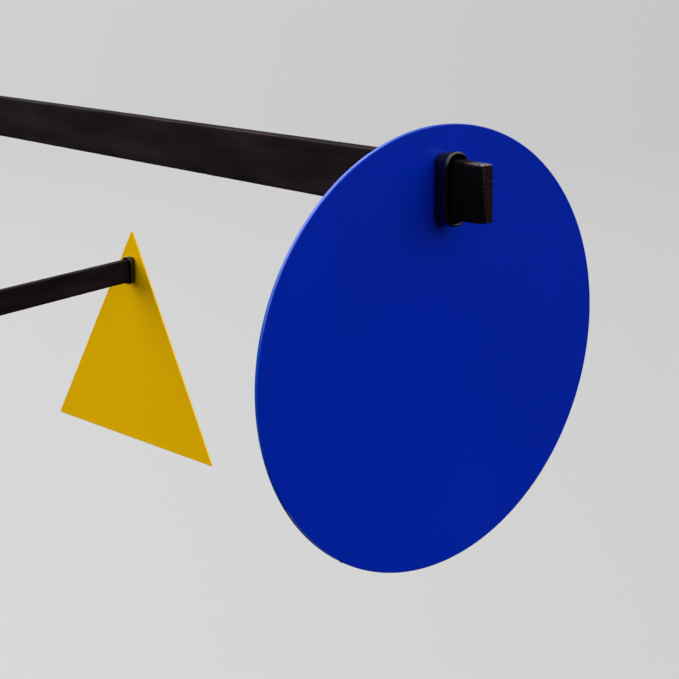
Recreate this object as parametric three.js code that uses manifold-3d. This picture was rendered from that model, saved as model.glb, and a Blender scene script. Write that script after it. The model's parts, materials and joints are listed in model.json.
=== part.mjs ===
// Hanging mobile: two black wooden laths on edge, one below the other, with round,
// three-cornered and square sheet-metal plates pushed over their ends on rubber grommets.
// The laths hang from steel rods and turn on them. Millimetres, +Z up, the upper lath
// along X with its round plate at the +X end, origin at the centre of the hanging eye.

import * as THREE from "three";
import { mergeVertices } from "three/addons/utils/BufferGeometryUtils.js";
import Module from "manifold-3d";

const wasm = await Module();
wasm.setup();

// Laths
const lathHeight = 25;
const lathThickness = 7;
const lathArris = 0.5;
const upperStub = 25; // past the round plate's outer face
const lowerStub = 9; // past the outer faces of the lower plates
const upperSpan = 747; // from the link rod to the middle of the round plate
const upperTail = 27; // past the link rod
const lowerSpan = 683; // between the middles of the two lower plates

// Plates
const plateThickness = 2;
const plateEdgeRound = 0.35;
const plateCornerRadius = 1.2;
const discDiameter = 195;
const discSlotDepth = 25.8; // from the top edge to the middle of the slot
const triangleBase = 243;
const triangleHeight = 244;
const triangleSlotDepth = 44.3; // from the apex to the middle of the slot
const triangleTurn = THREE.MathUtils.degToRad(3.9); // the plate hangs a little askew
const squareSide = 175;
const squareSlotDepth = 26;

// Grommets: a neck through the plate's slot and on each side of it a flange that flares to a
// rounded rim
const neckWall = 1; // around the lath
const neckCornerRadius = 1.9;
const flangeRootLip = 0.3; // past the neck
const flangeRimSideLip = 2.2; // past the neck
const flangeRimEndLip = 1.8; // past the neck
const flangeRimCornerRadius = 6.6;
const flangeDepth = 7.8;
const flangeRound = 1.3;

// Rods, collars and the hanging eye
const rodDiameter = 3;
const rodEndCut = 0.4;
const rodTail = 3; // past a collar
const collarDiameter = 9;
const collarHeight = 6;
const collarEdgeCut = 0.6;
const eyeHole = 12;
const eyeShoulderRadius = 4; // inner side of the bend that leads into the eye
const eyeMouth = 0.6; // between the wire's end and its shoulder

// Heights and the pose at rest
const hangerDrop = 110; // from the eye's centre to the upper lath's middle
const linkDrop = 221.4; // from the upper lath's middle to the lower one's
const lowerArmTurn = THREE.MathUtils.degToRad(103.9); // from the upper lath's +X end

// Clearances
const fitGap = 0.3; // between pieces that touch and stay together
const swivelGap = 0.3; // around and above what turns on a rod

// Weights in kilograms per cubic millimetre
const steelDensity = 7.85e-6;
const woodDensity = 0.6e-6;
const rubberDensity = 1.2e-6;

// Facets
const discFacets = 128;
const rodFacets = 12;
const collarFacets = 32;
const cornerFacets = 6;
const edgeFacets = 2;
const eyeFacetLength = 2.2;

// Materials
const blackWood = new THREE.MeshStandardMaterial({ color: "#1f1a1c", roughness: 0.65, metalness: 0 });
const blueCoat = new THREE.MeshStandardMaterial({ color: "#032095", roughness: 0.55, metalness: 0 });
const yellowCoat = new THREE.MeshStandardMaterial({ color: "#c59902", roughness: 0.55, metalness: 0 });
const redCoat = new THREE.MeshStandardMaterial({ color: "#a8160f", roughness: 0.55, metalness: 0 });
const blackRubber = new THREE.MeshStandardMaterial({ color: "#0d0c0e", roughness: 0.5, metalness: 0 });
const blackSteel = new THREE.MeshStandardMaterial({ color: "#1a1a1c", roughness: 0.4, metalness: 0.6 });

// Turns a shape drawn across and up, with its depth along local Z, square to the lath:
// across becomes Y, up becomes Z and depth becomes X
const acrossTheLath = new THREE.Quaternion(0.5, 0.5, 0.5, 0.5);

// Joins and cuts
function toSolid(geometry) {
  const bare = geometry.clone();
  bare.deleteAttribute("normal");
  bare.deleteAttribute("uv");
  const merged = mergeVertices(bare, 1e-4);
  return new wasm.Manifold(
    new wasm.Mesh({
      numProp: 3,
      vertProperties: new Float32Array(merged.attributes.position.array),
      triVerts: new Uint32Array(merged.index.array),
    }),
  );
}

function toGeometry(solid) {
  const mesh = solid.getMesh();
  const geometry = new THREE.BufferGeometry();
  geometry.setAttribute("position", new THREE.BufferAttribute(mesh.vertProperties, 3));
  geometry.setIndex(new THREE.BufferAttribute(mesh.triVerts, 1));
  return geometry;
}

function weightOf(geometry, density) {
  const flat = geometry.index ? geometry.toNonIndexed() : geometry;
  const places = flat.attributes.position;
  const corners = [new THREE.Vector3(), new THREE.Vector3(), new THREE.Vector3()];
  let volume = 0;
  for (let first = 0; first < places.count; first += 3) {
    corners.forEach((corner, offset) => corner.fromBufferAttribute(places, first + offset));
    volume += corners[0].dot(corners[1].cross(corners[2])) / 6;
  }
  return volume * density;
}

// Place of the balance point, from loads given as a weight and a place along the lath
function balancePoint(loads) {
  const weight = loads.reduce((sum, load) => sum + load.weight, 0);
  const moment = loads.reduce((sum, load) => sum + load.weight * load.place, 0);
  return moment / weight;
}

// Outlines
function polygonOutline(radius, sides) {
  const outline = new THREE.Shape();
  const corners = [];
  for (let side = 0; side < sides; side += 1) {
    const angle = (2 * Math.PI * side) / sides;
    corners.push(new THREE.Vector2(radius * Math.cos(angle), radius * Math.sin(angle)));
  }
  return outline.setFromPoints(corners);
}

// Points of a straight-sided outline, its corners given anticlockwise, each rounded by an arc
function roundedPoints(corners, radius) {
  const points = [];
  corners.forEach((corner, index) => {
    const before = corners[(index + corners.length - 1) % corners.length];
    const after = corners[(index + 1) % corners.length];
    const back = before.clone().sub(corner).normalize();
    const on = after.clone().sub(corner).normalize();
    const halfAngle = Math.acos(THREE.MathUtils.clamp(back.dot(on), -1, 1)) / 2;
    const middle = back.clone().add(on).normalize();
    const centre = corner.clone().addScaledVector(middle, radius / Math.sin(halfAngle));
    const facing = Math.atan2(-middle.y, -middle.x);
    const sweep = Math.PI / 2 - halfAngle;
    for (let step = 0; step <= cornerFacets; step += 1) {
      const angle = facing + sweep * ((2 * step) / cornerFacets - 1);
      points.push(
        new THREE.Vector2(centre.x + radius * Math.cos(angle), centre.y + radius * Math.sin(angle)),
      );
    }
  });
  return points;
}

// Corners of an upright rectangle, anticlockwise
function rectangleCorners(halfWidth, low, high) {
  return [
    new THREE.Vector2(halfWidth, low),
    new THREE.Vector2(halfWidth, high),
    new THREE.Vector2(-halfWidth, high),
    new THREE.Vector2(-halfWidth, low),
  ];
}

// Outline of the grommet's neck, grown by an offset: the plate's slot and the flange follow it
function neckPoints(side, end = side, radius = neckCornerRadius + side) {
  const halfWidth = lathThickness / 2 + fitGap + neckWall + side;
  const halfHeight = lathHeight / 2 + fitGap + neckWall + end;
  return roundedPoints(rectangleCorners(halfWidth, -halfHeight, halfHeight), radius);
}

// Laths
// Eased section, extruded from the start to the end of the lath, bored from top to bottom
const rodBoreRadius = rodDiameter / 2 + swivelGap;

function lathSection() {
  const halfWidth = lathThickness / 2;
  const halfHeight = lathHeight / 2;
  return new THREE.Shape().setFromPoints([
    new THREE.Vector2(halfWidth, -halfHeight + lathArris),
    new THREE.Vector2(halfWidth, halfHeight - lathArris),
    new THREE.Vector2(halfWidth - lathArris, halfHeight),
    new THREE.Vector2(-halfWidth + lathArris, halfHeight),
    new THREE.Vector2(-halfWidth, halfHeight - lathArris),
    new THREE.Vector2(-halfWidth, -halfHeight + lathArris),
    new THREE.Vector2(-halfWidth + lathArris, -halfHeight),
    new THREE.Vector2(halfWidth - lathArris, -halfHeight),
  ]);
}

function lathGeometry(start, end, bores) {
  const strip = new THREE.ExtrudeGeometry(lathSection(), { depth: end - start, bevelEnabled: false });
  strip.applyQuaternion(acrossTheLath).translate(start, 0, 0);
  let solid = toSolid(strip);
  for (const bore of bores) {
    const cutter = new THREE.ExtrudeGeometry(polygonOutline(rodBoreRadius, rodFacets), {
      depth: 2 * lathHeight,
      bevelEnabled: false,
    });
    cutter.translate(bore, 0, -lathHeight);
    solid = solid.subtract(toSolid(cutter));
  }
  return toGeometry(solid);
}

function lathLoad(start, end) {
  const section = lathHeight * lathThickness - 2 * lathArris ** 2;
  return { weight: section * (end - start) * woodDensity, place: (start + end) / 2 };
}

// Plates
// Flat sheet with slightly rounded edges, its slot centred on the lath
function plateGeometry(outline) {
  outline.holes.push(new THREE.Path().setFromPoints(neckPoints(fitGap)));
  const plate = new THREE.ExtrudeGeometry(outline, {
    depth: plateThickness - 2 * plateEdgeRound,
    bevelThickness: plateEdgeRound,
    bevelSize: plateEdgeRound,
    bevelOffset: -plateEdgeRound,
    bevelSegments: edgeFacets,
  });
  plate.translate(0, 0, plateEdgeRound - plateThickness / 2);
  return plate.applyQuaternion(acrossTheLath);
}

function discOutline() {
  const radius = discDiameter / 2;
  const points = polygonOutline(radius, discFacets).getPoints();
  points.forEach((point) => point.setY(point.y + discSlotDepth - radius));
  return new THREE.Shape().setFromPoints(points);
}

function triangleOutline() {
  const slotCentre = new THREE.Vector2(0, 0);
  const corners = [
    new THREE.Vector2(0, triangleSlotDepth),
    new THREE.Vector2(-triangleBase / 2, triangleSlotDepth - triangleHeight),
    new THREE.Vector2(triangleBase / 2, triangleSlotDepth - triangleHeight),
  ];
  corners.forEach((corner) => corner.rotateAround(slotCentre, triangleTurn));
  return new THREE.Shape().setFromPoints(roundedPoints(corners, plateCornerRadius));
}

function squareOutline() {
  const corners = rectangleCorners(squareSide / 2, squareSlotDepth - squareSide, squareSlotDepth);
  return new THREE.Shape().setFromPoints(roundedPoints(corners, plateCornerRadius));
}

// Grommets
// A flange is the hull of its outlines: the root at the plate, the rim, and the rim's rounding
function flangeSolid(side) {
  const outlines = [{ depth: 0, points: neckPoints(flangeRootLip) }];
  for (let step = 0; step <= edgeFacets; step += 1) {
    const turn = (step * Math.PI) / (2 * edgeFacets);
    const inset = flangeRound * (1 - Math.cos(turn));
    outlines.push({
      depth: flangeDepth - flangeRound * (1 - Math.sin(turn)),
      points: neckPoints(
        flangeRimSideLip - inset,
        flangeRimEndLip - inset,
        flangeRimCornerRadius - inset,
      ),
    });
  }
  const places = outlines.flatMap(({ depth, points }) =>
    points.map(({ x, y }) => [x, y, side * (plateThickness / 2 + fitGap + depth)]),
  );
  return wasm.Manifold.hull(places);
}

function grommetGeometry() {
  const neckLength = plateThickness + 2 * fitGap + flangeDepth;
  const neck = new THREE.ExtrudeGeometry(new THREE.Shape().setFromPoints(neckPoints(0)), {
    depth: neckLength,
    bevelEnabled: false,
  });
  neck.translate(0, 0, -neckLength / 2);
  const opening = new THREE.BoxGeometry(
    lathThickness + 2 * fitGap,
    lathHeight + 2 * fitGap,
    2 * (plateThickness + 2 * fitGap + 2 * flangeDepth),
  );
  const body = toSolid(neck).add(flangeSolid(1)).add(flangeSolid(-1));
  return toGeometry(body.subtract(toSolid(opening))).applyQuaternion(acrossTheLath);
}

// Rods and collars
function rodGeometry(low, high) {
  const radius = rodDiameter / 2;
  const profile = [
    new THREE.Vector2(0, low),
    new THREE.Vector2(radius - rodEndCut, low),
    new THREE.Vector2(radius, low + rodEndCut),
    new THREE.Vector2(radius, high - rodEndCut),
    new THREE.Vector2(radius - rodEndCut, high),
    new THREE.Vector2(0, high),
  ];
  return new THREE.LatheGeometry(profile, rodFacets).rotateX(Math.PI / 2);
}

function collarGeometry() {
  const inner = rodDiameter / 2 + fitGap;
  const outer = collarDiameter / 2;
  const half = collarHeight / 2;
  const profile = [
    new THREE.Vector2(inner, -half),
    new THREE.Vector2(outer - collarEdgeCut, -half),
    new THREE.Vector2(outer, -half + collarEdgeCut),
    new THREE.Vector2(outer, half - collarEdgeCut),
    new THREE.Vector2(outer - collarEdgeCut, half),
    new THREE.Vector2(inner, half),
    new THREE.Vector2(inner, -half),
  ];
  return new THREE.LatheGeometry(profile, collarFacets).rotateX(Math.PI / 2);
}

// Arc in the XZ plane
class UprightArc extends THREE.Curve {
  constructor(centreX, centreZ, radius, startAngle, endAngle) {
    super();
    Object.assign(this, { centreX, centreZ, radius, startAngle, endAngle });
  }

  getPoint(share, target = new THREE.Vector3()) {
    const angle = this.startAngle + (this.endAngle - this.startAngle) * share;
    return target.set(
      this.centreX + this.radius * Math.cos(angle),
      0,
      this.centreZ + this.radius * Math.sin(angle),
    );
  }
}

// Hanger: one wire, straight up the swivel's axis, over a shoulder to one side, and round
// the eye until its end nearly meets the shoulder
function hangerRodGeometry(low) {
  const eyeRadius = (eyeHole + rodDiameter) / 2;
  const bendRadius = eyeShoulderRadius + rodDiameter / 2;
  const centreDistance = bendRadius + eyeRadius;
  const shoulderZ = -Math.sqrt(centreDistance ** 2 - bendRadius ** 2);
  const joinAngle = Math.atan2(shoulderZ, bendRadius);
  const endDistance = bendRadius + rodDiameter + eyeMouth;
  const openAngle = Math.acos(
    (eyeRadius ** 2 + centreDistance ** 2 - endDistance ** 2) / (2 * eyeRadius * centreDistance),
  );
  const wire = new THREE.CurvePath();
  wire.add(new THREE.LineCurve3(new THREE.Vector3(0, 0, low), new THREE.Vector3(0, 0, shoulderZ)));
  wire.add(new UprightArc(bendRadius, shoulderZ, bendRadius, Math.PI, joinAngle + Math.PI));
  wire.add(new UprightArc(0, 0, eyeRadius, joinAngle, joinAngle - openAngle + 2 * Math.PI));
  return new THREE.ExtrudeGeometry(polygonOutline(rodDiameter / 2, rodFacets), {
    steps: Math.round(wire.getLength() / eyeFacetLength),
    extrudePath: wire,
  });
}

// Named pieces
function piece(name, geometry, material, x = 0, y = 0, z = 0) {
  const mesh = new THREE.Mesh(geometry, material);
  mesh.name = name;
  mesh.position.set(x, y, z);
  return mesh;
}

const collarOffset = lathHeight / 2 + swivelGap + collarHeight / 2;
const rodEndOffset = lathHeight / 2 + swivelGap + collarHeight + rodTail;
const upperEndOffset = plateThickness / 2 + upperStub;
const lowerEndOffset = plateThickness / 2 + lowerStub;

// Lower arm, along its own X, with the square plate at the near end and the three-cornered
// plate at the far end; it hangs where these balance
const trianglePlate = plateGeometry(triangleOutline());
const squarePlate = plateGeometry(squareOutline());
const triangleWeight = weightOf(trianglePlate, steelDensity);
const squareWeight = weightOf(squarePlate, steelDensity);
const grommetWeight = weightOf(grommetGeometry(), rubberDensity);
const lowerLoads = [
  { weight: squareWeight + grommetWeight, place: 0 },
  { weight: triangleWeight + grommetWeight, place: lowerSpan },
  lathLoad(-lowerEndOffset, lowerSpan + lowerEndOffset),
];
const squareX = -balancePoint(lowerLoads);
const triangleX = squareX + lowerSpan;

const linkRod = rodGeometry(-rodEndOffset, linkDrop + rodEndOffset);

const lowerArm = new THREE.Group();
lowerArm.add(
  piece("lower_lath", lathGeometry(squareX - lowerEndOffset, triangleX + lowerEndOffset, [0]), blackWood),
  piece("triangle_plate", trianglePlate, yellowCoat, triangleX),
  piece("triangle_grommet", grommetGeometry(), blackRubber, triangleX),
  piece("square_plate", squarePlate, redCoat, squareX),
  piece("square_grommet", grommetGeometry(), blackRubber, squareX),
  piece("link_rod", linkRod, blackSteel),
  piece("link_collar_top", collarGeometry(), blackSteel, 0, 0, linkDrop + collarOffset),
  piece("link_collar_bottom", collarGeometry(), blackSteel, 0, 0, -collarOffset),
);

// Upper arm, from the link rod at one end to the round plate at the other; it hangs where
// the round plate balances the whole lower arm
const discPlate = plateGeometry(discOutline());
const lowerArmWeight =
  lowerLoads.reduce((sum, load) => sum + load.weight, 0) +
  weightOf(linkRod, steelDensity) +
  2 * weightOf(collarGeometry(), steelDensity);
const upperLoads = [
  { weight: lowerArmWeight, place: 0 },
  { weight: weightOf(discPlate, steelDensity) + grommetWeight, place: upperSpan },
  lathLoad(-upperTail, upperSpan + upperEndOffset),
];
const linkX = -balancePoint(upperLoads);
const discX = linkX + upperSpan;

const upperArm = new THREE.Group();
upperArm.add(
  piece("upper_lath", lathGeometry(linkX - upperTail, discX + upperEndOffset, [0, linkX]), blackWood),
  piece("disc_plate", discPlate, blueCoat, discX),
  piece("disc_grommet", grommetGeometry(), blackRubber, discX),
);

lowerArm.position.set(linkX, 0, -linkDrop);
lowerArm.rotation.z = lowerArmTurn;
upperArm.add(lowerArm);
upperArm.position.z = -hangerDrop;

// Whole mobile
const mobile = new THREE.Group();
mobile.add(
  piece("hanger_rod", hangerRodGeometry(-hangerDrop - rodEndOffset), blackSteel),
  piece("hanger_collar", collarGeometry(), blackSteel, 0, 0, -hangerDrop - collarOffset),
  upperArm,
);

export default mobile;
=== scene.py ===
"""Looks of the hanging mobile, in metres, in the part's own frame: +Z up, the upper lath along X
with its round plate at the +X end, and the origin at the centre of the hanging eye."""

import json
import math

import bmesh
import bpy
import numpy as np
from mathutils import Euler, Matrix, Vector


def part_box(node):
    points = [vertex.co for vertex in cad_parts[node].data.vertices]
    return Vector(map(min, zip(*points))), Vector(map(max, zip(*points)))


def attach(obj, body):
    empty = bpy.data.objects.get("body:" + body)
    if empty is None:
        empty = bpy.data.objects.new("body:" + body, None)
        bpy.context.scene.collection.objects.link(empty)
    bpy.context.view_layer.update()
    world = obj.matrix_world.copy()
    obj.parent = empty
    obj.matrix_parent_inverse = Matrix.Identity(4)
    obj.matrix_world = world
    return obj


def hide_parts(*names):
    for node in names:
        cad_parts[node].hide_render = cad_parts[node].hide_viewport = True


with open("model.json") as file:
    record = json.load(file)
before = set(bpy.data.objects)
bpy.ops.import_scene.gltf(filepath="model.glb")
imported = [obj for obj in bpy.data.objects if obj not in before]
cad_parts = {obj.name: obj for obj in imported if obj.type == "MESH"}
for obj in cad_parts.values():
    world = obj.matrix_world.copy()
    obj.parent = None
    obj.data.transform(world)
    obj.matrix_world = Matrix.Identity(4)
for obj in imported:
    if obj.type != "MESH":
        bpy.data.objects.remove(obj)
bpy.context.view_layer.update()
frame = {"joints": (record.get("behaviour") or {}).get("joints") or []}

# Hanger rod: one length of 3 mm steel wire, blackened, straight up the swivel's axis and bent
# over a shoulder into the eye that the whole mobile hangs from. Its foot carries a collar on
# which the upper lath rests and turns.
mm = 0.001
wire_radius = 1.5 * mm
eye_radius = 7.5 * mm
shoulder_radius = 5.5 * mm
eye_mouth = 0.6 * mm
end_ease = 0.4 * mm
merge_gap = 0.002 * mm
sharp_edge = math.radians(40)


def linear(hex_colour):
    """An sRGB hex colour as linear red, green and blue with full alpha."""
    parts = np.array([int(hex_colour[i : i + 2], 16) for i in (1, 3, 5)]) / 255
    low, high = parts / 12.92, ((parts + 0.055) / 1.055) ** 2.4
    return (*np.where(parts <= 0.04045, low, high).tolist(), 1.0)


def node(tree, kind, inputs, stops=(), **settings):
    """Adds a node, sets its properties, gives its inputs values or links from outputs, and gives a
    colour ramp its stops, as places and sRGB hex colours."""
    new = tree.nodes.new(kind)
    for name, value in settings.items():
        setattr(new, name, value)
    for index, (place, hex_colour) in enumerate(stops):
        elements = new.color_ramp.elements
        element = elements[index] if index < len(elements) else elements.new(place)
        element.position, element.color = place, linear(hex_colour)
    for name, value in inputs.items():
        if isinstance(value, bpy.types.NodeSocket):
            tree.links.new(value, new.inputs[name])
        else:
            new.inputs[name].default_value = value
    return new


def surface(name, grid, ring=False, marks=None):
    """A closed skin over a grid of points, rows by columns by three. Each row is a loop, rows are
    joined to the next by quads, and the last to the first if they make a ring. Points that fall
    together, as at a pole, are merged, faces are turned outwards, and marks are kept as named
    values on the points."""
    rows, columns = grid.shape[:2]
    index = np.arange(rows * columns).reshape(rows, columns)
    below = np.roll(index, -1, axis=0) if ring else index[1:]
    index = index if ring else index[:-1]
    quads = np.stack([index, np.roll(index, -1, 1), np.roll(below, -1, 1), below], axis=-1)
    mesh = bpy.data.meshes.new(name)
    mesh.from_pydata(grid.reshape(-1, 3), [], quads.reshape(-1, 4))
    for mark, values in (marks or {}).items():
        attribute = mesh.attributes.new(mark, "FLOAT", "POINT")
        attribute.data.foreach_set("value", np.broadcast_to(values, (rows, columns)).ravel())
    shape = bmesh.new()
    shape.from_mesh(mesh)
    bmesh.ops.remove_doubles(shape, verts=shape.verts, dist=merge_gap)
    bmesh.ops.recalc_face_normals(shape, faces=shape.faces)
    shape.to_mesh(mesh)
    shape.free()
    mesh.shade_smooth()
    mesh.set_sharp_from_angle(angle=sharp_edge)
    piece = bpy.data.objects.new(name, mesh)
    bpy.context.scene.collection.objects.link(piece)
    return piece


def finished(piece, material, body, slot, *nodes):
    """Gives a piece its material and the body that it rides on, and hides the CAD nodes that it
    stands for. The slot is not used."""
    piece.data.materials.append(material)
    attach(piece, body)
    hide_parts(*nodes)


def wire(name, path, radius=wire_radius, ease=end_ease, sides=24):
    """A round bar along a path in an upright plane along X: a circle is carried square to the
    path, with Y and the path's normal as its axes. At each end it is eased by a quarter round and
    then shrunk to a pole."""
    heading = np.gradient(path, axis=0)
    heading /= np.linalg.norm(heading, axis=1, keepdims=True)
    turn = np.linspace(0, math.pi / 2, 5)
    depth = np.r_[0, ease * (1 - np.cos(turn))][:, None]
    reach = np.r_[0, radius - ease + ease * np.sin(turn)]
    count = len(depth)
    centre = np.r_[
        path[0] + depth * heading[0],
        path[1:-1],
        path[-1] - depth[::-1] * heading[-1],
    ]
    first, last = (np.tile(heading[end], (count, 1)) for end in (0, -1))
    heading = np.r_[first, heading[1:-1], last]
    radii = np.r_[reach, np.full(len(path) - 2, radius), reach[::-1]]
    around = np.linspace(0, 2 * math.pi, sides, endpoint=False)[:, None]
    across = np.array([0.0, 1.0, 0.0])
    circle = np.cos(around) * across + np.sin(around) * np.cross(across, heading)[:, None, :]
    return surface(name, centre[:, None, :] + radii[:, None, None] * circle)


def arc(centre_x, centre_z, radius, start, end, steps):
    """Points of a circle's arc in the XZ plane, without its first one."""
    turn = np.linspace(start, end, steps + 1)[1:]
    x, z = centre_x + radius * np.cos(turn), centre_z + radius * np.sin(turn)
    return np.c_[x, np.zeros(steps), z]


def blackened_steel():
    """Drawn steel wire and turned collars, chemically blackened and oiled: a thin blue-black skin
    with a low metallic sheen, browner and duller in patches where the oil has dried."""
    patch = 9 * mm
    pit = 0.7 * mm
    material = bpy.data.materials.new("blackened_steel")
    material.use_nodes = True
    tree = material.node_tree
    shader = tree.nodes["Principled BSDF"]
    place = node(tree, "ShaderNodeTexCoord", {}).outputs["Object"]
    pattern = {"Vector": place, "Scale": 1 / patch, "Detail": 3.0}
    patches = node(tree, "ShaderNodeTexNoise", pattern)
    stops = ((0.35, "#2a2a2d"), (0.7, "#3b3634"))
    skin = node(tree, "ShaderNodeValToRGB", {"Fac": patches.outputs["Fac"]}, stops)
    tree.links.new(skin.outputs["Color"], shader.inputs["Base Color"])
    dull = node(
        tree,
        "ShaderNodeMapRange",
        {"Value": patches.outputs["Fac"], "To Min": 0.3, "To Max": 0.5},
    )
    tree.links.new(dull.outputs["Result"], shader.inputs["Roughness"])
    pits = node(tree, "ShaderNodeTexNoise", {"Vector": place, "Scale": 1 / pit, "Detail": 2.0})
    bump = node(
        tree,
        "ShaderNodeBump",
        {"Height": pits.outputs["Fac"], "Strength": 0.3, "Distance": 0.03 * mm},
    )
    tree.links.new(bump.outputs["Normal"], shader.inputs["Normal"])
    shader.inputs["Metallic"].default_value = 0.85
    return material


steel = blackened_steel()

rod_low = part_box("hanger_rod")[0].z
centre_distance = shoulder_radius + eye_radius
shoulder_z = -math.sqrt(centre_distance**2 - shoulder_radius**2)
join = math.atan2(shoulder_z, shoulder_radius)
end_distance = shoulder_radius + 2 * wire_radius + eye_mouth
opening = math.acos(
    (eye_radius**2 + centre_distance**2 - end_distance**2) / (2 * eye_radius * centre_distance)
)
shank = np.linspace([0, 0, rod_low], [0, 0, shoulder_z], 50)
shoulder = arc(shoulder_radius, shoulder_z, shoulder_radius, math.pi, join + math.pi, 14)
eye = arc(0, 0, eye_radius, join, join - opening + 2 * math.pi, 72)
hanger = wire("hanger_wire", np.r_[shank, shoulder, eye])
finished(hanger, steel, "hanger", "black_steel", "hanger_rod")

# Hanger collar: a small turned ring of the same blackened steel, gripped on the rod's foot, its
# edges broken. The lath's bottom edge rides on its top face.
collar_radius = 4.5 * mm
collar_ease = 0.6 * mm
collar_gap = 0.03 * mm
bore_chamfer = 0.3 * mm


def collar(name, node_name):
    """A turned ring about the upright axis of its node: the profile of half its section, bore, top
    face and eased outer edge, is mirrored downwards and carried round."""
    low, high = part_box(node_name)
    middle = (low + high) / 2
    half = (high.z - low.z) / 2
    turn = np.linspace(math.pi / 2, 0, 6)
    bore = wire_radius + collar_gap
    top = np.r_[
        [
            [bore, half - bore_chamfer],
            [bore + bore_chamfer, half],
            [collar_radius - 1.5 * mm, half],
        ],
        np.c_[
            collar_radius - collar_ease * (1 - np.cos(turn)),
            half - collar_ease * (1 - np.sin(turn)),
        ],
    ]
    profile = np.r_[top, top[::-1] * [1, -1]]
    around = np.linspace(0, 2 * math.pi, 64, endpoint=False)
    grid = np.stack(
        [
            middle.x + profile[:, :1] * np.cos(around),
            middle.y + profile[:, :1] * np.sin(around),
            middle.z + profile[:, 1:] + 0 * around,
        ],
        axis=-1,
    )
    return surface(name, grid, ring=True)


stop = collar("hanger_stop", "hanger_collar")
finished(stop, steel, "hanger", "black_steel", "hanger_collar")

# Upper lath: planed strip of close-grained hardwood, 25 by 7 mm on edge, brushed with black water
# stain. It is bored from edge to edge for the rods. Its end past the plate is sanded down a
# little and sawn slightly out of square, and its near upright corner is knocked off at the foot.
lath_height = 25 * mm
lath_thickness = 7 * mm
arris_radius = 0.7 * mm
end_radius = 0.35 * mm
upper_stub = 25 * mm
upper_taper = 0.7 * mm
upper_corner_foot = 3.2 * mm
upper_corner_head = 0.5 * mm
bore_radius = 1.75 * mm
loop_spacing = 1.6 * mm
rub_depth = 0.12 * mm
dent_depth = 0.9 * mm
planing_depth = 0.05 * mm
saw_lean = 0.7 * mm


def rounded_rectangle(half_width, half_height, radius, corner_steps, side_steps):
    """Points, outward normals and roundness round an upright rectangle with round corners: four
    quarter circles about the corners' centres, joined by straight sides. Half sizes and radius may
    be lists, with a value for each of several such loops."""
    sizes = np.broadcast_arrays(half_width, half_height, radius)
    half_width, half_height, radius = (np.atleast_1d(size)[:, None] for size in sizes)
    turn = np.linspace(0, math.pi / 2, corner_steps + 1)
    corners, facings = [], []
    for quarter, (right, up) in enumerate(((1, 1), (-1, 1), (-1, -1), (1, -1))):
        angle = turn + quarter * math.pi / 2
        facings.append(np.stack([np.cos(angle), np.sin(angle)], -1))
        centre = np.stack([right * (half_width - radius), up * (half_height - radius)], -1)
        corners.append(centre + radius[..., None] * facings[-1])
    points, normals, roundness = [], [], []
    for quarter in range(4):
        steps = side_steps[quarter % 2]
        share = np.linspace(0, 1, steps + 2)[1:-1, None]
        start, end = corners[quarter][:, -1:], corners[(quarter + 1) % 4][:, :1]
        points += [corners[quarter], start + share * (end - start)]
        normals += [facings[quarter], np.tile(facings[quarter][-1], (steps, 1))]
        roundness += [0.4 + 0.6 * np.sin(2 * turn), np.zeros(steps)]
    return np.concatenate(points, 1), np.concatenate(normals), np.concatenate(roundness)


def waves(place, seed, lengths):
    """A smooth wander from -1 to 1: the mean of one sine of each wavelength, each with its own
    phase drawn from the seed."""
    phases = np.random.default_rng(seed).uniform(0, 2 * math.pi, len(lengths))
    return sum(np.sin(2 * math.pi * place / a + b) for a, b in zip(lengths, phases)) / len(lengths)


def lath_grid(start, end, seed):
    """A planed strip along its own X: the rounded section carried from start to end. Its arrises
    are rubbed back by a wandering depth with a dent here and there, its faces wander by a few
    hundredths, its ends are eased and closed by the section shrunk to the middle."""
    section, normals, roundness = rounded_rectangle(
        lath_thickness / 2, lath_height / 2, arris_radius, 5, (5, 18)
    )
    turn = np.linspace(0, math.pi / 2, 4)
    fill = np.array([0, 0.15, 0.3, 0.42, 0.54, 0.65, 0.75, 0.84, 0.92, 0.97])
    ease, inset = end_radius * (1 - np.cos(turn)), end_radius * (1 - np.sin(turn))
    stations = int((end - start) / loop_spacing)
    body = np.linspace(start + end_radius, end - end_radius, stations)[1:-1]
    place = np.r_[0 * fill + start, start + ease, body, end - ease[::-1], 0 * fill + end][:, None]
    flat_end = 0 * fill + end_radius
    inset = np.r_[flat_end, inset, 0 * body, inset[::-1], flat_end][:, None]
    scale = np.r_[fill, 0 * turn + 1, 0 * body + 1, 0 * turn + 1, fill[::-1]][:, None]
    up = section[..., 1]
    rub = 0.5 + 0.5 * waves(place + 3 * up, seed, (47 * mm, 19 * mm, 8.3 * mm))
    dent = np.clip(waves(place - 5 * up, seed + 1, (31 * mm, 12.7 * mm, 5.1 * mm)) - 0.62, 0, 1)
    planed = 0.5 + 0.5 * waves(place + 2 * up, seed + 2, (230 * mm, 90 * mm, 37 * mm))
    depth = inset + roundness * (rub_depth * rub + dent_depth * dent) + planing_depth * planed
    outline = scale[..., None] * (section - depth[..., None] * normals)
    grid = np.concatenate([place[..., None] + 0 * outline[..., :1], outline], axis=-1)
    end_edge = ((inset > 0) & (scale == 1)).astype(float)
    rubbed = np.maximum(roundness + 0 * place, end_edge) * (0.55 + 0.45 * rub)
    sawn = ((scale < 1) | (inset > 0.2 * mm)).astype(float)
    return grid, {"rubbed": rubbed, "sawn": sawn}


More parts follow.
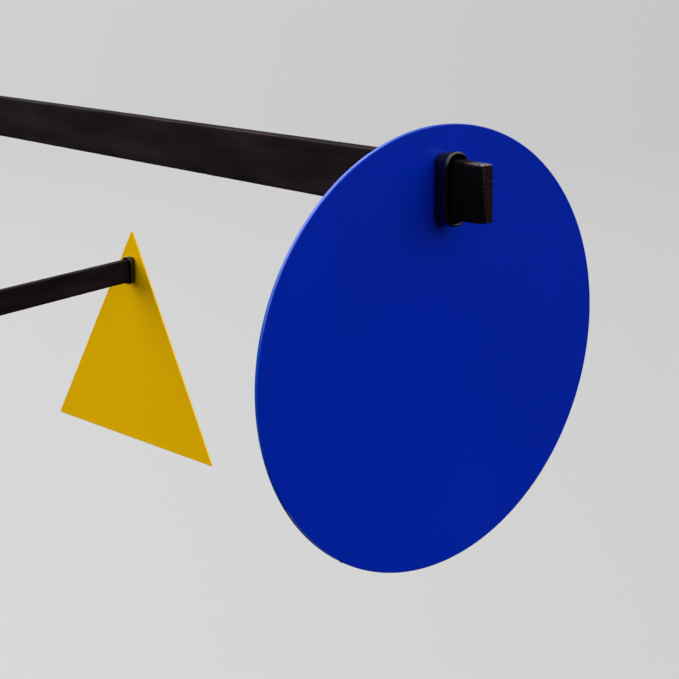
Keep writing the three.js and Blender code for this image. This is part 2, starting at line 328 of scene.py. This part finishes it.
def dressed_end(grid, marks, stub, taper, corner_foot, corner_head):
    """The sawn end past the plate: the section shrinks to it, the saw's cut leans by less than a
    millimetre, and the near upright corner is cut back at 45 degrees, more at its foot. That
    cut was stained like the faces, so no mark shows it. The end past the plate is marked for
    painted shade, and along its top towards the end for a painted highlight."""
    along, across, up = np.moveaxis(grid, -1, 0)
    near_end = np.clip((along - along.max() + stub) / stub, 0, 1)
    up = up * (1 - near_end * taper / (lath_height / 2))
    low = np.clip(0.5 - up / lath_height, 0, 1)
    width = corner_head + (corner_foot - corner_head) * low**1.5
    corner = np.clip(width - (across + lath_thickness / 2), 0, None)
    trim = saw_lean * (1 - low) + 0.9 * corner
    for mark in ("sawn", "rubbed"):
        marks[mark] = marks[mark] * ((corner == 0) | (near_end == 0))
    # Painted highlight: pale flecks on the top towards the end, where the light catches it.
    marks["bare"] = np.clip(2.5 * near_end - 1.5, 0, 1) * np.clip(20 * up / lath_height - 9, 0, 1)
    # Painted shade: the whole end past the plate is darkened, where the plate shades it.
    marks["painted_stub_shade"] = np.clip(20 * near_end, 0, 1)
    return np.stack([along - trim * near_end**3, across, up], axis=-1)


def hung(grid, origin, turn):
    """A lath's own along, across and up, turned about the upright and set at its origin."""
    along, across, up = np.moveaxis(grid, -1, 0)
    x = origin[0] + along * math.cos(turn) - across * math.sin(turn)
    y = origin[1] + along * math.sin(turn) + across * math.cos(turn)
    return np.stack([x, y, origin[2] + up], axis=-1)


def bored(piece, origin, places):
    """Cuts an upright round hole through a lath at each place and keeps the result as its mesh."""
    for x, y in places:
        reach = lath_height / 2 + 2 * mm
        path = np.array([[x, y, origin[2] - reach], [x, y, origin[2] + reach]])
        drill = wire("drill", path, bore_radius, 0.1 * mm, 32)
        cut = piece.modifiers.new("bore", "BOOLEAN")
        cut.object, cut.operation, cut.solver = drill, "DIFFERENCE", "EXACT"
        seen = piece.evaluated_get(bpy.context.evaluated_depsgraph_get())
        mesh = bpy.data.meshes.new_from_object(seen)
        piece.modifiers.clear()
        piece.data = mesh
        bpy.data.objects.remove(drill)
    mesh.shade_smooth()
    mesh.set_sharp_from_angle(angle=sharp_edge)


def black_stained_wood(name, origin, turn):
    """Maple or birch strip, planed and sanded, brushed with black water stain and left matt. The
    stain is thinnest on rubbed arrises, which show greyish brown. The ends past the plates carry
    painted shade, near black, where the plates shade them, and pale grey flecks on their tops
    towards the end are a painted highlight. The grain runs along the lath, and its pores are
    drawn coarser than real so that they show."""
    grain = (70 * mm, 1.3 * mm, 1.3 * mm)
    pore = (9 * mm, 0.5 * mm, 0.5 * mm)
    cloud = (45 * mm, 9 * mm, 9 * mm)
    saw_mark = (1 * mm, 0.9 * mm, 0.9 * mm)
    material = bpy.data.materials.new(name)
    material.use_nodes = True
    tree = material.node_tree
    shader = tree.nodes["Principled BSDF"]
    place = node(tree, "ShaderNodeTexCoord", {}).outputs["Object"]
    patterns = []
    for size, detail in ((grain, 4.0), (pore, 2.0), (cloud, 3.0), (saw_mark, 3.0)):
        local = node(
            tree,
            "ShaderNodeMapping",
            {"Vector": place, "Location": origin, "Rotation": (0, 0, turn), "Scale": size},
            vector_type="TEXTURE",
        ).outputs["Vector"]
        pattern = {"Vector": local, "Scale": 1.0, "Detail": detail}
        patterns.append(node(tree, "ShaderNodeTexNoise", pattern).outputs["Fac"])
    streaks, pores, clouds, saw = patterns
    take = node(
        tree,
        "ShaderNodeMix",
        {"Factor": 0.7, "A": streaks, "B": clouds},
        data_type="FLOAT",
    )
    stops = ((0.36, "#0f090a"), (0.5, "#170f11"), (0.64, "#211719"))
    stained = node(tree, "ShaderNodeValToRGB", {"Fac": take.outputs["Result"]}, stops)
    # Painted shade: the end past the plate is darkened to near black, where the plate shades it.
    painted_stub_shade = node(tree, "ShaderNodeAttribute", {}, attribute_name="painted_stub_shade").outputs["Fac"]
    deep = node(
        tree,
        "ShaderNodeMix",
        {"Factor": painted_stub_shade, "A": stained.outputs["Color"], "B": linear("#060306")},
        data_type="RGBA",
    )
    rubbed = node(tree, "ShaderNodeAttribute", {}, attribute_name="rubbed").outputs["Fac"]
    wear_and_glint = node(tree, "ShaderNodeMath", {0: rubbed, 1: clouds}, operation="MULTIPLY")
    thin = node(
        tree,
        "ShaderNodeMapRange",
        {"Value": wear_and_glint.outputs["Value"], "From Min": 0.2, "From Max": 0.6},
    )
    edged = node(
        tree,
        "ShaderNodeMix",
        {
            "Factor": thin.outputs["Result"],
            "A": deep.outputs["Result"],
            "B": linear("#3d3534"),
        },
        data_type="RGBA",
    )
    stops = ((0.42, "#0b0608"), (0.6, "#2d1c22"))
    end_grain = node(tree, "ShaderNodeValToRGB", {"Fac": saw}, stops)
    sawn = node(tree, "ShaderNodeAttribute", {}, attribute_name="sawn").outputs["Fac"]
    stick = node(
        tree,
        "ShaderNodeMix",
        {"Factor": sawn, "A": edged.outputs["Result"], "B": end_grain.outputs["Color"]},
        data_type="RGBA",
    )
    # Painted highlight: pale grey flecks on the top of the end past the plate.
    bare = node(tree, "ShaderNodeAttribute", {}, attribute_name="bare").outputs["Fac"]
    fleck = node(tree, "ShaderNodeMapRange", {"Value": saw, "From Min": 0.42, "From Max": 0.58})
    through = node(
        tree,
        "ShaderNodeMath",
        {0: bare, 1: fleck.outputs["Result"]},
        operation="MULTIPLY",
    )
    whole = node(
        tree,
        "ShaderNodeMix",
        {
            "Factor": through.outputs["Value"],
            "A": stick.outputs["Result"],
            "B": linear("#b2acb6"),
        },
        data_type="RGBA",
    )
    tree.links.new(whole.outputs["Result"], shader.inputs["Base Color"])
    matt = node(tree, "ShaderNodeMapRange", {"Value": streaks, "To Min": 0.7, "To Max": 0.9})
    tree.links.new(matt.outputs["Result"], shader.inputs["Roughness"])
    fibre = node(
        tree,
        "ShaderNodeMix",
        {"Factor": 0.55, "A": streaks, "B": pores},
        data_type="FLOAT",
    )
    relief = node(
        tree,
        "ShaderNodeMix",
        {"Factor": sawn, "A": fibre.outputs["Result"], "B": saw},
        data_type="FLOAT",
    )
    bump = node(
        tree,
        "ShaderNodeBump",
        {"Height": relief.outputs["Result"], "Strength": 0.5, "Distance": 0.12 * mm},
    )
    tree.links.new(bump.outputs["Normal"], shader.inputs["Normal"])
    shader.inputs["Specular IOR Level"].default_value = 0.04
    return material


upper_low, upper_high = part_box("upper_lath")
upper_origin = (0.0, 0.0, (upper_low.z + upper_high.z) / 2)
joint_places = {joint["name"]: joint["pos_m"] for joint in frame["joints"]}
link_axis = joint_places["lower_arm_swivel"]

grid, marks = lath_grid(upper_low.x, upper_high.x, 11)
grid = dressed_end(
    grid, marks, upper_stub, upper_taper, upper_corner_foot, upper_corner_head
)
upper_lath = surface("upper_stained_lath", hung(grid, upper_origin, 0.0), marks=marks)
bored(upper_lath, upper_origin, [(0.0, 0.0), (link_axis[0], link_axis[1])])
upper_wood = black_stained_wood("black_stained_wood_upper", upper_origin, 0.0)
finished(upper_lath, upper_wood, "upper_arm", "black_stained_wood", "upper_lath")

# Round plate: 2 mm sheet steel, laser-cut to 195 mm across with an oblong slot near its top edge,
# its edges just broken, and powder-coated blue. It is pushed over the lath's end on its
# grommet. A pale line along one stretch of its front edge is a painted highlight, and its rim
# is painted a paler blue as a painted highlight.
sheet_thickness = 2 * mm
sheet_edge = 0.35 * mm
disc_radius = 97.5 * mm
disc_slot_depth = 25.8 * mm
slot_half_width = 4.9 * mm
slot_half_height = 13.75 * mm
slot_corner = 3.2 * mm
# Painted highlight: the stretch of the front arris, as angles round the plate, that carries a pale
# line; the nib sits at its end.
glint_from, glint_to = math.radians(209), math.radians(234.5)
glint_fade = 0.05
nib_height = 0.28 * mm
nib_width = 0.5 * mm
nick_depth = 0.3 * mm
nick_width = 0.6 * mm
nick_from_nib = 1.3 * mm
disc_ray_spacing = 1.2 * mm
edge_guard = 0.4 * mm


def read_outline(points, normals, bearings):
    """Where rays from the slot's centre meet an outline, and its outward normal there: radius and
    normal are read between the outline's dense points by their bearing."""
    bearing = np.arctan2(points[:, 1], points[:, 0])
    radius, right, up = (
        np.interp(bearings, bearing, values, period=2 * math.pi)
        for values in (np.hypot(points[:, 0], points[:, 1]), normals[:, 0], normals[:, 1])
    )
    met = radius[:, None] * np.stack([np.cos(bearings), np.sin(bearings)], -1)
    facing = np.stack([right, up], -1)
    return met, facing / np.linalg.norm(facing, axis=1, keepdims=True)


def plate_grid(points, normals, spacing):
    """A slotted sheet as one ring of loops about the slot: from the slot's wall over its eased
    edge across the front, over the eased outer edge, and back the same way behind. Each face is
    a blend from the slot's outline to the plate's, ray by ray, and a loop close to each edge
    keeps the flat flat. Also gives, loop by loop, which lie on the front arris and which on the
    rim."""
    slot, slot_normals, _ = rounded_rectangle(
        slot_half_width, slot_half_height, slot_corner, 8, (8, 18)
    )
    slot = slot[0]
    step = max(1, round(spacing / np.linalg.norm(points[1] - points[0])))
    feature = np.r_[slot, points[::step]]
    bearings = np.unique(np.round(np.arctan2(feature[:, 1], feature[:, 0]), 4))
    fine = [np.linspace(a, b, 9)[:-1] for a, b in zip(slot, np.roll(slot, -1, 0))]
    fine_normals = np.repeat(slot_normals, 8, axis=0)
    inner, inner_normals = read_outline(np.concatenate(fine), fine_normals, bearings)
    outer, outer_normals = read_outline(points, normals, bearings)
    turn = np.linspace(0, math.pi / 2, 5)
    half = sheet_thickness / 2
    ease, rise = sheet_edge * (1 - np.cos(turn)), half - sheet_edge * (1 - np.sin(turn))
    guard = sheet_edge + edge_guard
    first = inner + guard * inner_normals
    last = outer - guard * outer_normals
    share = np.array([0, 0.12, 0.3, 0.5, 0.7, 0.88, 1])[:, None, None]
    flat = np.concatenate(
        [
            inner + ease[:, None, None] * inner_normals,
            first + share * (last - first),
            outer - ease[::-1, None, None] * outer_normals,
        ]
    )
    height = np.r_[rise, np.full(len(share), half), rise[::-1]]
    flat = np.concatenate([inner[None], flat, outer[None], flat[::-1]])
    height = np.r_[0, height, 0, -height[::-1]]
    grid = np.concatenate([height[:, None, None] + 0 * flat[..., :1], flat], axis=-1)
    front, back = len(rise) + len(share) + 1, 2 * len(rise) + len(share) + 1
    arris, rim = np.zeros((2, len(height), 1))
    arris[front + 1 : back - 1] = 1
    rim[front + 2 : back + len(rise)] = 1
    return grid, arris, rim


def powder_coat(name, colour, shade, rim_highlight_colour, glint_colour):
    """Polyester powder, sprayed on sheet steel and baked: an even, opaque colour in a satin skin,
    with the faint orange peel of the melt, a little deeper where the film is thick. The rim is
    given a paler colour, a painted highlight where its edge takes the light, and a broken pale
    line along the marked stretch of the front arris is a painted highlight too. The peel is
    drawn stronger than real so that it shows."""
    peel = 2.2 * mm
    drift = 60 * mm
    grain = 0.5 * mm
    material = bpy.data.materials.new(name)
    material.use_nodes = True
    tree = material.node_tree
    shader = tree.nodes["Principled BSDF"]
    place = node(tree, "ShaderNodeTexCoord", {}).outputs["Object"]
    film = node(tree, "ShaderNodeTexNoise", {"Vector": place, "Scale": 1 / drift, "Detail": 2.0})
    stops = ((0.3, shade), (0.7, colour))
    coat = node(tree, "ShaderNodeValToRGB", {"Fac": film.outputs["Fac"]}, stops)
    # Painted highlight: the rim is given a paler colour than the faces, for the light that its
    # edge catches.
    rim = node(tree, "ShaderNodeAttribute", {}, attribute_name="rim").outputs["Fac"]
    edged = node(
        tree,
        "ShaderNodeMix",
        {"Factor": rim, "A": coat.outputs["Color"], "B": linear(rim_highlight_colour)},
        data_type="RGBA",
    )
    # Painted highlight: a broken pale line along the marked stretch of the front arris.
    wear_and_glint = node(tree, "ShaderNodeAttribute", {}, attribute_name="wear_and_glint").outputs["Fac"]
    glint_breakup = node(tree, "ShaderNodeTexNoise", {"Vector": place, "Scale": 1 / grain, "Detail": 2.0})
    patchy = node(
        tree,
        "ShaderNodeMapRange",
        {"Value": glint_breakup.outputs["Fac"], "From Min": 0.35, "From Max": 0.6, "To Min": 0.45},
    )
    bare = node(
        tree,
        "ShaderNodeMath",
        {0: wear_and_glint, 1: patchy.outputs["Result"]},
        operation="MULTIPLY",
    )
    whole = node(
        tree,
        "ShaderNodeMix",
        {
            "Factor": bare.outputs["Value"],
            "A": edged.outputs["Result"],
            "B": linear(glint_colour),
        },
        data_type="RGBA",
    )
    tree.links.new(whole.outputs["Result"], shader.inputs["Base Color"])
    satin = node(
        tree,
        "ShaderNodeMapRange",
        {"Value": film.outputs["Fac"], "To Min": 0.2, "To Max": 0.26},
    )
    tree.links.new(satin.outputs["Result"], shader.inputs["Roughness"])
    melt = node(tree, "ShaderNodeTexNoise", {"Vector": place, "Scale": 1 / peel, "Detail": 1.0})
    bump = node(
        tree,
        "ShaderNodeBump",
        {"Height": melt.outputs["Fac"], "Strength": 0.12, "Distance": 0.06 * mm},
    )
    tree.links.new(bump.outputs["Normal"], shader.inputs["Normal"])
    shader.inputs["Specular IOR Level"].default_value = 0.2
    return material


disc_low, disc_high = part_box("disc_plate")
disc_origin = ((disc_low.x + disc_high.x) / 2, 0.0, upper_origin[2])
turn = np.linspace(-math.pi, math.pi, 4800, endpoint=False)
normals = np.stack([np.cos(turn), np.sin(turn)], -1)
nib_place = (turn % (2 * math.pi) - glint_to) * disc_radius
nib = nib_height * np.exp(-((nib_place / nib_width) ** 2))
nick = nick_depth * np.exp(-(((nib_place + nick_from_nib) / nick_width) ** 2))
points = (disc_radius + nib - nick)[:, None] * normals + [0, disc_slot_depth - disc_radius]
grid, arris, rim = plate_grid(points, normals, disc_ray_spacing)
around = np.arctan2(grid[..., 2] - disc_slot_depth + disc_radius, grid[..., 1]) % (2 * math.pi)
# The pale line is a painted highlight, faded in at each end of its stretch.
stretch = np.clip(np.minimum(around - glint_from, glint_to - around) / glint_fade, 0, 1)
marks = {"wear_and_glint": arris * stretch, "rim": rim}
disc = surface("round_plate", hung(grid, disc_origin, 0.0), ring=True, marks=marks)
# The third colour, the rim's, is paler as a painted highlight; the last is the painted highlight
# line.
blue_coat = powder_coat("blue_powder_coat", "#0228b7", "#0227b2", "#053ea6", "#8ea2dc")
finished(disc, blue_coat, "upper_arm", "blue_powder_coat", "disc_plate")

# Round plate's grommet: moulded black rubber, an oblong sleeve that hugs the lath and snaps into
# the plate's slot between two deep flanges. Each flange flares away from the plate to a rounded
# rim, inside which it dishes in towards the lath.
grommet_reach = 9.05 * mm
rim_half_width = 6.6 * mm
rim_half_height = 15.5 * mm
rim_corner = 6.3 * mm
rim_round = 0.85 * mm
root_lip = 0.7 * mm
root_ease = 0.4 * mm
neck_gap = 0.05 * mm
skin_gap = 0.03 * mm
dish_depth = 1.7 * mm


def grommet_grid():
    """Loops of a rounded rectangle, each given by its place along the lath, its two half sizes and
    its corner: up the inner wall, out over a cosine dish to the rim, over the rim's quarter
    round and straight down the flare to its eased root on the plate and in to the neck; then
    the same mirrored behind."""
    face = sheet_thickness / 2 + skin_gap
    bore = np.array([lath_thickness / 2, lath_height / 2, arris_radius]) + skin_gap
    neck = np.array([slot_half_width, slot_half_height, slot_corner]) - neck_gap
    root = neck + root_lip
    rim = np.array([rim_half_width, rim_half_height, rim_corner])
    turn = np.linspace(0, math.pi / 2, 9)[1:, None]
    share = np.linspace(0, 1, 12)[:, None]
    dish_foot = grommet_reach - dish_depth
    rim_along = grommet_reach - rim_round
    sizes = [
        np.tile(bore, (5, 1)),
        bore + share * (rim - rim_round - bore),
        rim - rim_round * (1 - np.sin(turn)),
        rim + share[1:] * (root - rim),
        root - root_ease * (1 - np.cos(turn)),
        np.tile(neck, (2, 1)),
    ]
    along = [
        np.linspace(0.5 * mm, dish_foot - 0.2 * mm, 5)[:, None],
        dish_foot + dish_depth * (0.5 - 0.5 * np.cos(math.pi * share)),
        grommet_reach - rim_round * (1 - np.cos(turn)),
        rim_along + share[1:] * (face + root_ease - rim_along),
        face + root_ease * (1 - np.sin(turn)),
        [[face], [0.4 * mm]],
    ]
    sizes, along = np.concatenate(sizes), np.concatenate(along)
    sizes, along = np.r_[sizes, sizes[::-1]], np.r_[along, -along[::-1]]
    loops, _, _ = rounded_rectangle(*sizes.T, 10, (6, 24))
    return np.concatenate([along[:, None] + 0 * loops[..., :1], loops], axis=-1)


def black_rubber():
    """Moulded rubber: near-black and satin, with a fine eroded texture from the mould and a faint
    grey bloom. The texture is drawn coarser than real so that it shows."""
    texture = 0.45 * mm
    bloom = 6 * mm
    material = bpy.data.materials.new("black_rubber")
    material.use_nodes = True
    tree = material.node_tree
    shader = tree.nodes["Principled BSDF"]
    place = node(tree, "ShaderNodeTexCoord", {}).outputs["Object"]
    pattern = {"Vector": place, "Scale": 1 / bloom, "Detail": 3.0}
    patches = node(tree, "ShaderNodeTexNoise", pattern)
    stops = ((0.35, "#060506"), (0.7, "#0c0b0c"))
    skin = node(tree, "ShaderNodeValToRGB", {"Fac": patches.outputs["Fac"]}, stops)
    tree.links.new(skin.outputs["Color"], shader.inputs["Base Color"])
    satin = node(
        tree,
        "ShaderNodeMapRange",
        {"Value": patches.outputs["Fac"], "To Min": 0.22, "To Max": 0.34},
    )
    tree.links.new(satin.outputs["Result"], shader.inputs["Roughness"])
    pattern = {"Vector": place, "Scale": 1 / texture, "Detail": 2.0}
    eroded = node(tree, "ShaderNodeTexNoise", pattern)
    bump = node(
        tree,
        "ShaderNodeBump",
        {"Height": eroded.outputs["Fac"], "Strength": 0.3, "Distance": 0.03 * mm},
    )
    tree.links.new(bump.outputs["Normal"], shader.inputs["Normal"])
    return material


rubber = black_rubber()
grommet = surface("round_plate_grommet", hung(grommet_grid(), disc_origin, 0.0), ring=True)
finished(grommet, rubber, "upper_arm", "black_rubber", "disc_grommet")

# Link rod: a straight length of the same blackened wire, from a collar above the upper lath's
# tail down through both laths to a collar below the lower one, which it carries.
link_low, link_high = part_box("link_rod")
path = np.linspace([*link_axis[:2], link_low.z], [*link_axis[:2], link_high.z], 60)
link = wire("link_wire", path)
finished(link, steel, "lower_arm", "black_steel", "link_rod")
for node_name in ("link_collar_top", "link_collar_bottom"):
    stop = collar(f"{node_name}_ring", node_name)
    finished(stop, steel, "lower_arm", "black_steel", node_name)

# Lower lath: a second strip of the same stained wood, hung at its balance point and turned across
# the first, with a plate on each end.
lower_low, lower_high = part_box("lower_lath")
lower_origin = (link_axis[0], link_axis[1], (lower_low.z + lower_high.z) / 2)
slot_places = {}
for node_name in ("triangle_grommet", "square_grommet"):
    low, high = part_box(node_name)
    slot_places[node_name] = ((low.x + high.x) / 2, (low.y + high.y) / 2, lower_origin[2])
triangle_place, square_place = slot_places["triangle_grommet"], slot_places["square_grommet"]
lower_turn = math.atan2(triangle_place[1] - square_place[1], triangle_place[0] - square_place[0])
lower_stub = 9 * mm
lower_taper = 0.2 * mm
lower_corner_foot = 1.0 * mm
lower_corner_head = 0.5 * mm
plate_to_end = sheet_thickness / 2 + lower_stub
triangle_along = math.dist(triangle_place[:2], lower_origin[:2])
square_along = -math.dist(square_place[:2], lower_origin[:2])

grid, marks = lath_grid(square_along - plate_to_end, triangle_along + plate_to_end, 23)
grid = dressed_end(
    grid, marks, lower_stub, lower_taper, lower_corner_foot, lower_corner_head
)
lower_lath = surface("lower_stained_lath", hung(grid, lower_origin, lower_turn), marks=marks)
bored(lower_lath, lower_origin, [(link_axis[0], link_axis[1])])
lower_wood = black_stained_wood("black_stained_wood_lower", lower_origin, lower_turn)
finished(lower_lath, lower_wood, "lower_arm", "black_stained_wood", "lower_lath")

# Three-cornered plate: the same sheet steel, 243 mm wide and 244 mm high, with corners just
# blunted, powder-coated yellow. It hangs from its slot a few degrees askew.
triangle_base = 243 * mm
triangle_height = 244 * mm
triangle_slot_depth = 44.3 * mm
triangle_askew = math.radians(3.9)
sheet_corner = 1.2 * mm
lower_ray_spacing = 2.5 * mm


def blunted(corners, radius):
    """Dense points and outward normals round a straight-sided outline, its corners given
    anticlockwise, each blunted by an arc that touches both its sides."""
    corners = np.asarray(corners)
    back = np.roll(corners, 1, 0) - corners
    ahead = np.roll(corners, -1, 0) - corners
    back /= np.linalg.norm(back, axis=1, keepdims=True)
    ahead /= np.linalg.norm(ahead, axis=1, keepdims=True)
    half_angle = np.arccos((back * ahead).sum(1)) / 2
    middle = (back + ahead) / np.linalg.norm(back + ahead, axis=1, keepdims=True)
    centres = corners + middle * (radius / np.sin(half_angle))[:, None]
    facing = np.arctan2(-middle[:, 1], -middle[:, 0])
    sweep = math.pi / 2 - half_angle
    points, normals = [], []
    for corner in range(len(corners)):
        angle = facing[corner] + np.linspace(-1, 1, 25) * sweep[corner]
        normal = np.stack([np.cos(angle), np.sin(angle)], -1)
        following = (corner + 1) % len(corners)
        start = centres[corner] + radius * normal[-1]
        end = centres[following] + radius * normal[-1]
        share = np.linspace(0, 1, 1500)[1:-1, None]
        points += [centres[corner] + radius * normal, start + share * (end - start)]
        normals += [normal, np.tile(normal[-1], (len(share), 1))]
    return np.concatenate(points), np.concatenate(normals)


apex = np.array([0, triangle_slot_depth])
foot = triangle_slot_depth - triangle_height
corners = np.array([apex, [-triangle_base / 2, foot], [triangle_base / 2, foot]])
cosine, sine = math.cos(triangle_askew), math.sin(triangle_askew)
corners = corners @ np.array([[cosine, sine], [-sine, cosine]])
points, normals = blunted(corners, sheet_corner)
grid, arris, rim = plate_grid(points, normals, lower_ray_spacing)
triangle = surface(
    "three_cornered_plate",
    hung(grid, triangle_place, lower_turn),
    ring=True,
    marks={"wear_and_glint": 0 * arris, "rim": rim},
)
# The rim colour is paler as a painted highlight; this plate has no painted highlight line.
yellow_coat = powder_coat("yellow_powder_coat", "#efbb00", "#ecb800", "#efc014", "#e8c860")
finished(triangle, yellow_coat, "lower_arm", "yellow_powder_coat", "triangle_plate")
grid = hung(grommet_grid(), triangle_place, lower_turn)
grommet = surface("three_cornered_plate_grommet", grid, ring=True)
finished(grommet, rubber, "lower_arm", "black_rubber", "triangle_grommet")

# Square plate: the same sheet steel, 175 mm each way, powder-coated red, which balances the
# three-cornered plate from the lower lath's other end.
square_side = 175 * mm
square_slot_depth = 26 * mm

half, top = square_side / 2, square_slot_depth
corners = [[half, top - square_side], [half, top], [-half, top], [-half, top - square_side]]
points, normals = blunted(corners, sheet_corner)
grid, arris, rim = plate_grid(points, normals, lower_ray_spacing)
square = surface(
    "square_sheet_plate",
    hung(grid, square_place, lower_turn),
    ring=True,
    marks={"wear_and_glint": 0 * arris, "rim": rim},
)
# The rim colour is paler as a painted highlight; this plate has no painted highlight line.
red_coat = powder_coat("red_powder_coat", "#c01a12", "#b81710", "#c22418", "#d88078")
finished(square, red_coat, "lower_arm", "red_powder_coat", "square_plate")
grid = hung(grommet_grid(), square_place, lower_turn)
grommet = surface("square_plate_grommet", grid, ring=True)
finished(grommet, rubber, "lower_arm", "black_rubber", "square_grommet")

# Room: a pale floor a stride and a half below, without shine, which fills the view, with a painted
# pool of light in its colour.
floor_z = -1.6
floor_half = 220.0
floor_glow_radius = 12.0
floor_bright_side = (-0.638, -0.77, 0)


def pale_floor():
    """Matt pale floor with a painted pool of light: its colour is a touch brighter near the
    mobile and towards the lit side.
    """
    material = bpy.data.materials.new("pale_floor")
    material.use_nodes = True
    tree = material.node_tree
    shader = tree.nodes["Principled BSDF"]
    place = node(tree, "ShaderNodeTexCoord", {}).outputs["Object"]
    local = node(
        tree,
        "ShaderNodeMapping",
        {
            "Vector": place,
            "Location": (0.0, 0.0, floor_z),
            "Scale": (floor_glow_radius,) * 3,
        },
        vector_type="TEXTURE",
    ).outputs["Vector"]
    # Painted pool of light: the floor's colour is brighter near the mobile and towards the lit
    # side.
    near = node(tree, "ShaderNodeTexGradient", {"Vector": local}, gradient_type="SPHERICAL")
    stops = ((0.0, "#8f8f8f"), (1.0, "#989898"))
    pale = node(tree, "ShaderNodeValToRGB", {"Fac": near.outputs["Fac"]}, stops)
    towards = node(
        tree,
        "ShaderNodeVectorMath",
        {0: local, 1: floor_bright_side},
        operation="DOT_PRODUCT",
    )
    distance = node(tree, "ShaderNodeVectorMath", {0: local}, operation="LENGTH")
    reach = node(tree, "ShaderNodeMath", {0: distance.outputs["Value"], 1: 0.2}, operation="ADD")
    side = node(
        tree,
        "ShaderNodeMath",
        {0: towards.outputs["Value"], 1: reach.outputs["Value"]},
        operation="DIVIDE",
    )
    lift = node(
        tree,
        "ShaderNodeMapRange",
        {"Value": side.outputs["Value"], "From Min": -1.0, "To Min": 0.76, "To Max": 1.18},
    )
    lit = node(
        tree,
        "ShaderNodeVectorMath",
        {0: pale.outputs["Color"], "Scale": lift.outputs["Result"]},
        operation="SCALE",
    )
    tree.links.new(lit.outputs["Vector"], shader.inputs["Base Color"])
    shader.inputs["Roughness"].default_value = 1.0
    shader.inputs["Specular IOR Level"].default_value = 0.0
    return material


corner = np.array([[-1, -1], [1, -1], [1, 1], [-1, 1]]) * floor_half
floor_mesh = bpy.data.meshes.new("floor")
floor_mesh.from_pydata(np.c_[corner, np.full(4, floor_z)], [], [[0, 1, 2, 3]])
floor = bpy.data.objects.new("floor", floor_mesh)
bpy.context.scene.collection.objects.link(floor)
floor_mesh.materials.append(pale_floor())
floor.visible_diffuse = False
floor.visible_glossy = False

# Soft studio light: a panel high behind the mobile that rims the plates' edges and puts a sheen
# on the laths' top edges, a broad panel on the left for the laths and the three-cornered plate,
# one high in front of the round plate's face, and a ceiling above that is brighter at the back.


def soft_light(name, bearing, height, spread, strength):
    """Light from a broad, distant panel: its compass bearing from +X and height in degrees, the
    angle that the panel fills, and its strength on a surface that faces it."""
    light = bpy.data.lights.new(name, "SUN")
    light.angle = math.radians(spread)
    light.energy = strength
    panel = bpy.data.objects.new(name, light)
    panel.rotation_euler = Euler((0, math.radians(90 - height), math.radians(bearing)))
    bpy.context.scene.collection.objects.link(panel)


soft_light("back_panel", 185, 42, 60, 2.3)
soft_light("left_panel", 233, 42, 76, 3.3)
soft_light("front_panel", 28, 50, 96, 3.05)

ceiling_bright_side = (-0.643, 0.766, 0)
backdrop = 0.55
world = bpy.data.worlds.new("room")
bpy.context.scene.world = world
world.use_nodes = True
tree = world.node_tree
tree.nodes.clear()
direction = node(tree, "ShaderNodeTexCoord", {}).outputs["Generated"]
upwards = node(tree, "ShaderNodeSeparateXYZ", {"Vector": direction}).outputs["Z"]
towards = node(
    tree,
    "ShaderNodeVectorMath",
    {0: direction, 1: ceiling_bright_side},
    operation="DOT_PRODUCT",
).outputs["Value"]
ceiling = node(
    tree,
    "ShaderNodeMapRange",
    {"Value": upwards, "From Max": 0.5, "To Min": 0.035, "To Max": 0.55},
)
side = node(
    tree,
    "ShaderNodeMapRange",
    {"Value": towards, "From Min": -0.6, "From Max": 0.4, "To Min": 0.15},
)
dome = node(
    tree,
    "ShaderNodeMath",
    {0: ceiling.outputs["Result"], 1: side.outputs["Result"]},
    operation="MULTIPLY",
).outputs["Value"]
seen = node(tree, "ShaderNodeLightPath", {}).outputs["Is Camera Ray"]
glow = node(tree, "ShaderNodeMix", {"Factor": seen, "A": dome, "B": backdrop}, data_type="FLOAT")
air = node(tree, "ShaderNodeBackground", {"Strength": glow.outputs["Result"]})
air.inputs["Color"].default_value = (1, 1, 1, 1)
node(tree, "ShaderNodeOutputWorld", {"Surface": air.outputs["Background"]})

# Camera: an arm's length from the round plate, a little above it, looking slightly down past it
# along the upper lath.
camera_from_end = (353.0 * mm, -369.41 * mm, 82.77 * mm)
camera_bearing = math.radians(50.393)
camera_down = math.radians(15.635)
camera_roll = math.radians(-0.560)

camera = bpy.data.cameras.new("camera")
camera.sensor_fit = "HORIZONTAL"
camera.sensor_width = 36.0
camera.lens = 68.08
camera.clip_start = 0.02
camera.clip_end = 1000.0
viewer = bpy.data.objects.new("camera", camera)
aim = Euler((math.pi / 2 - camera_down, 0, camera_bearing)).to_matrix().to_4x4()
lath_end = Matrix.Translation((upper_high.x, 0.0, upper_origin[2]))
place = lath_end @ Matrix.Translation(camera_from_end)
viewer.matrix_world = place @ aim @ Matrix.Rotation(camera_roll, 4, "Z")
bpy.context.scene.collection.objects.link(viewer)
bpy.context.scene.camera = viewer
bpy.context.scene.view_settings.view_transform = "Standard"
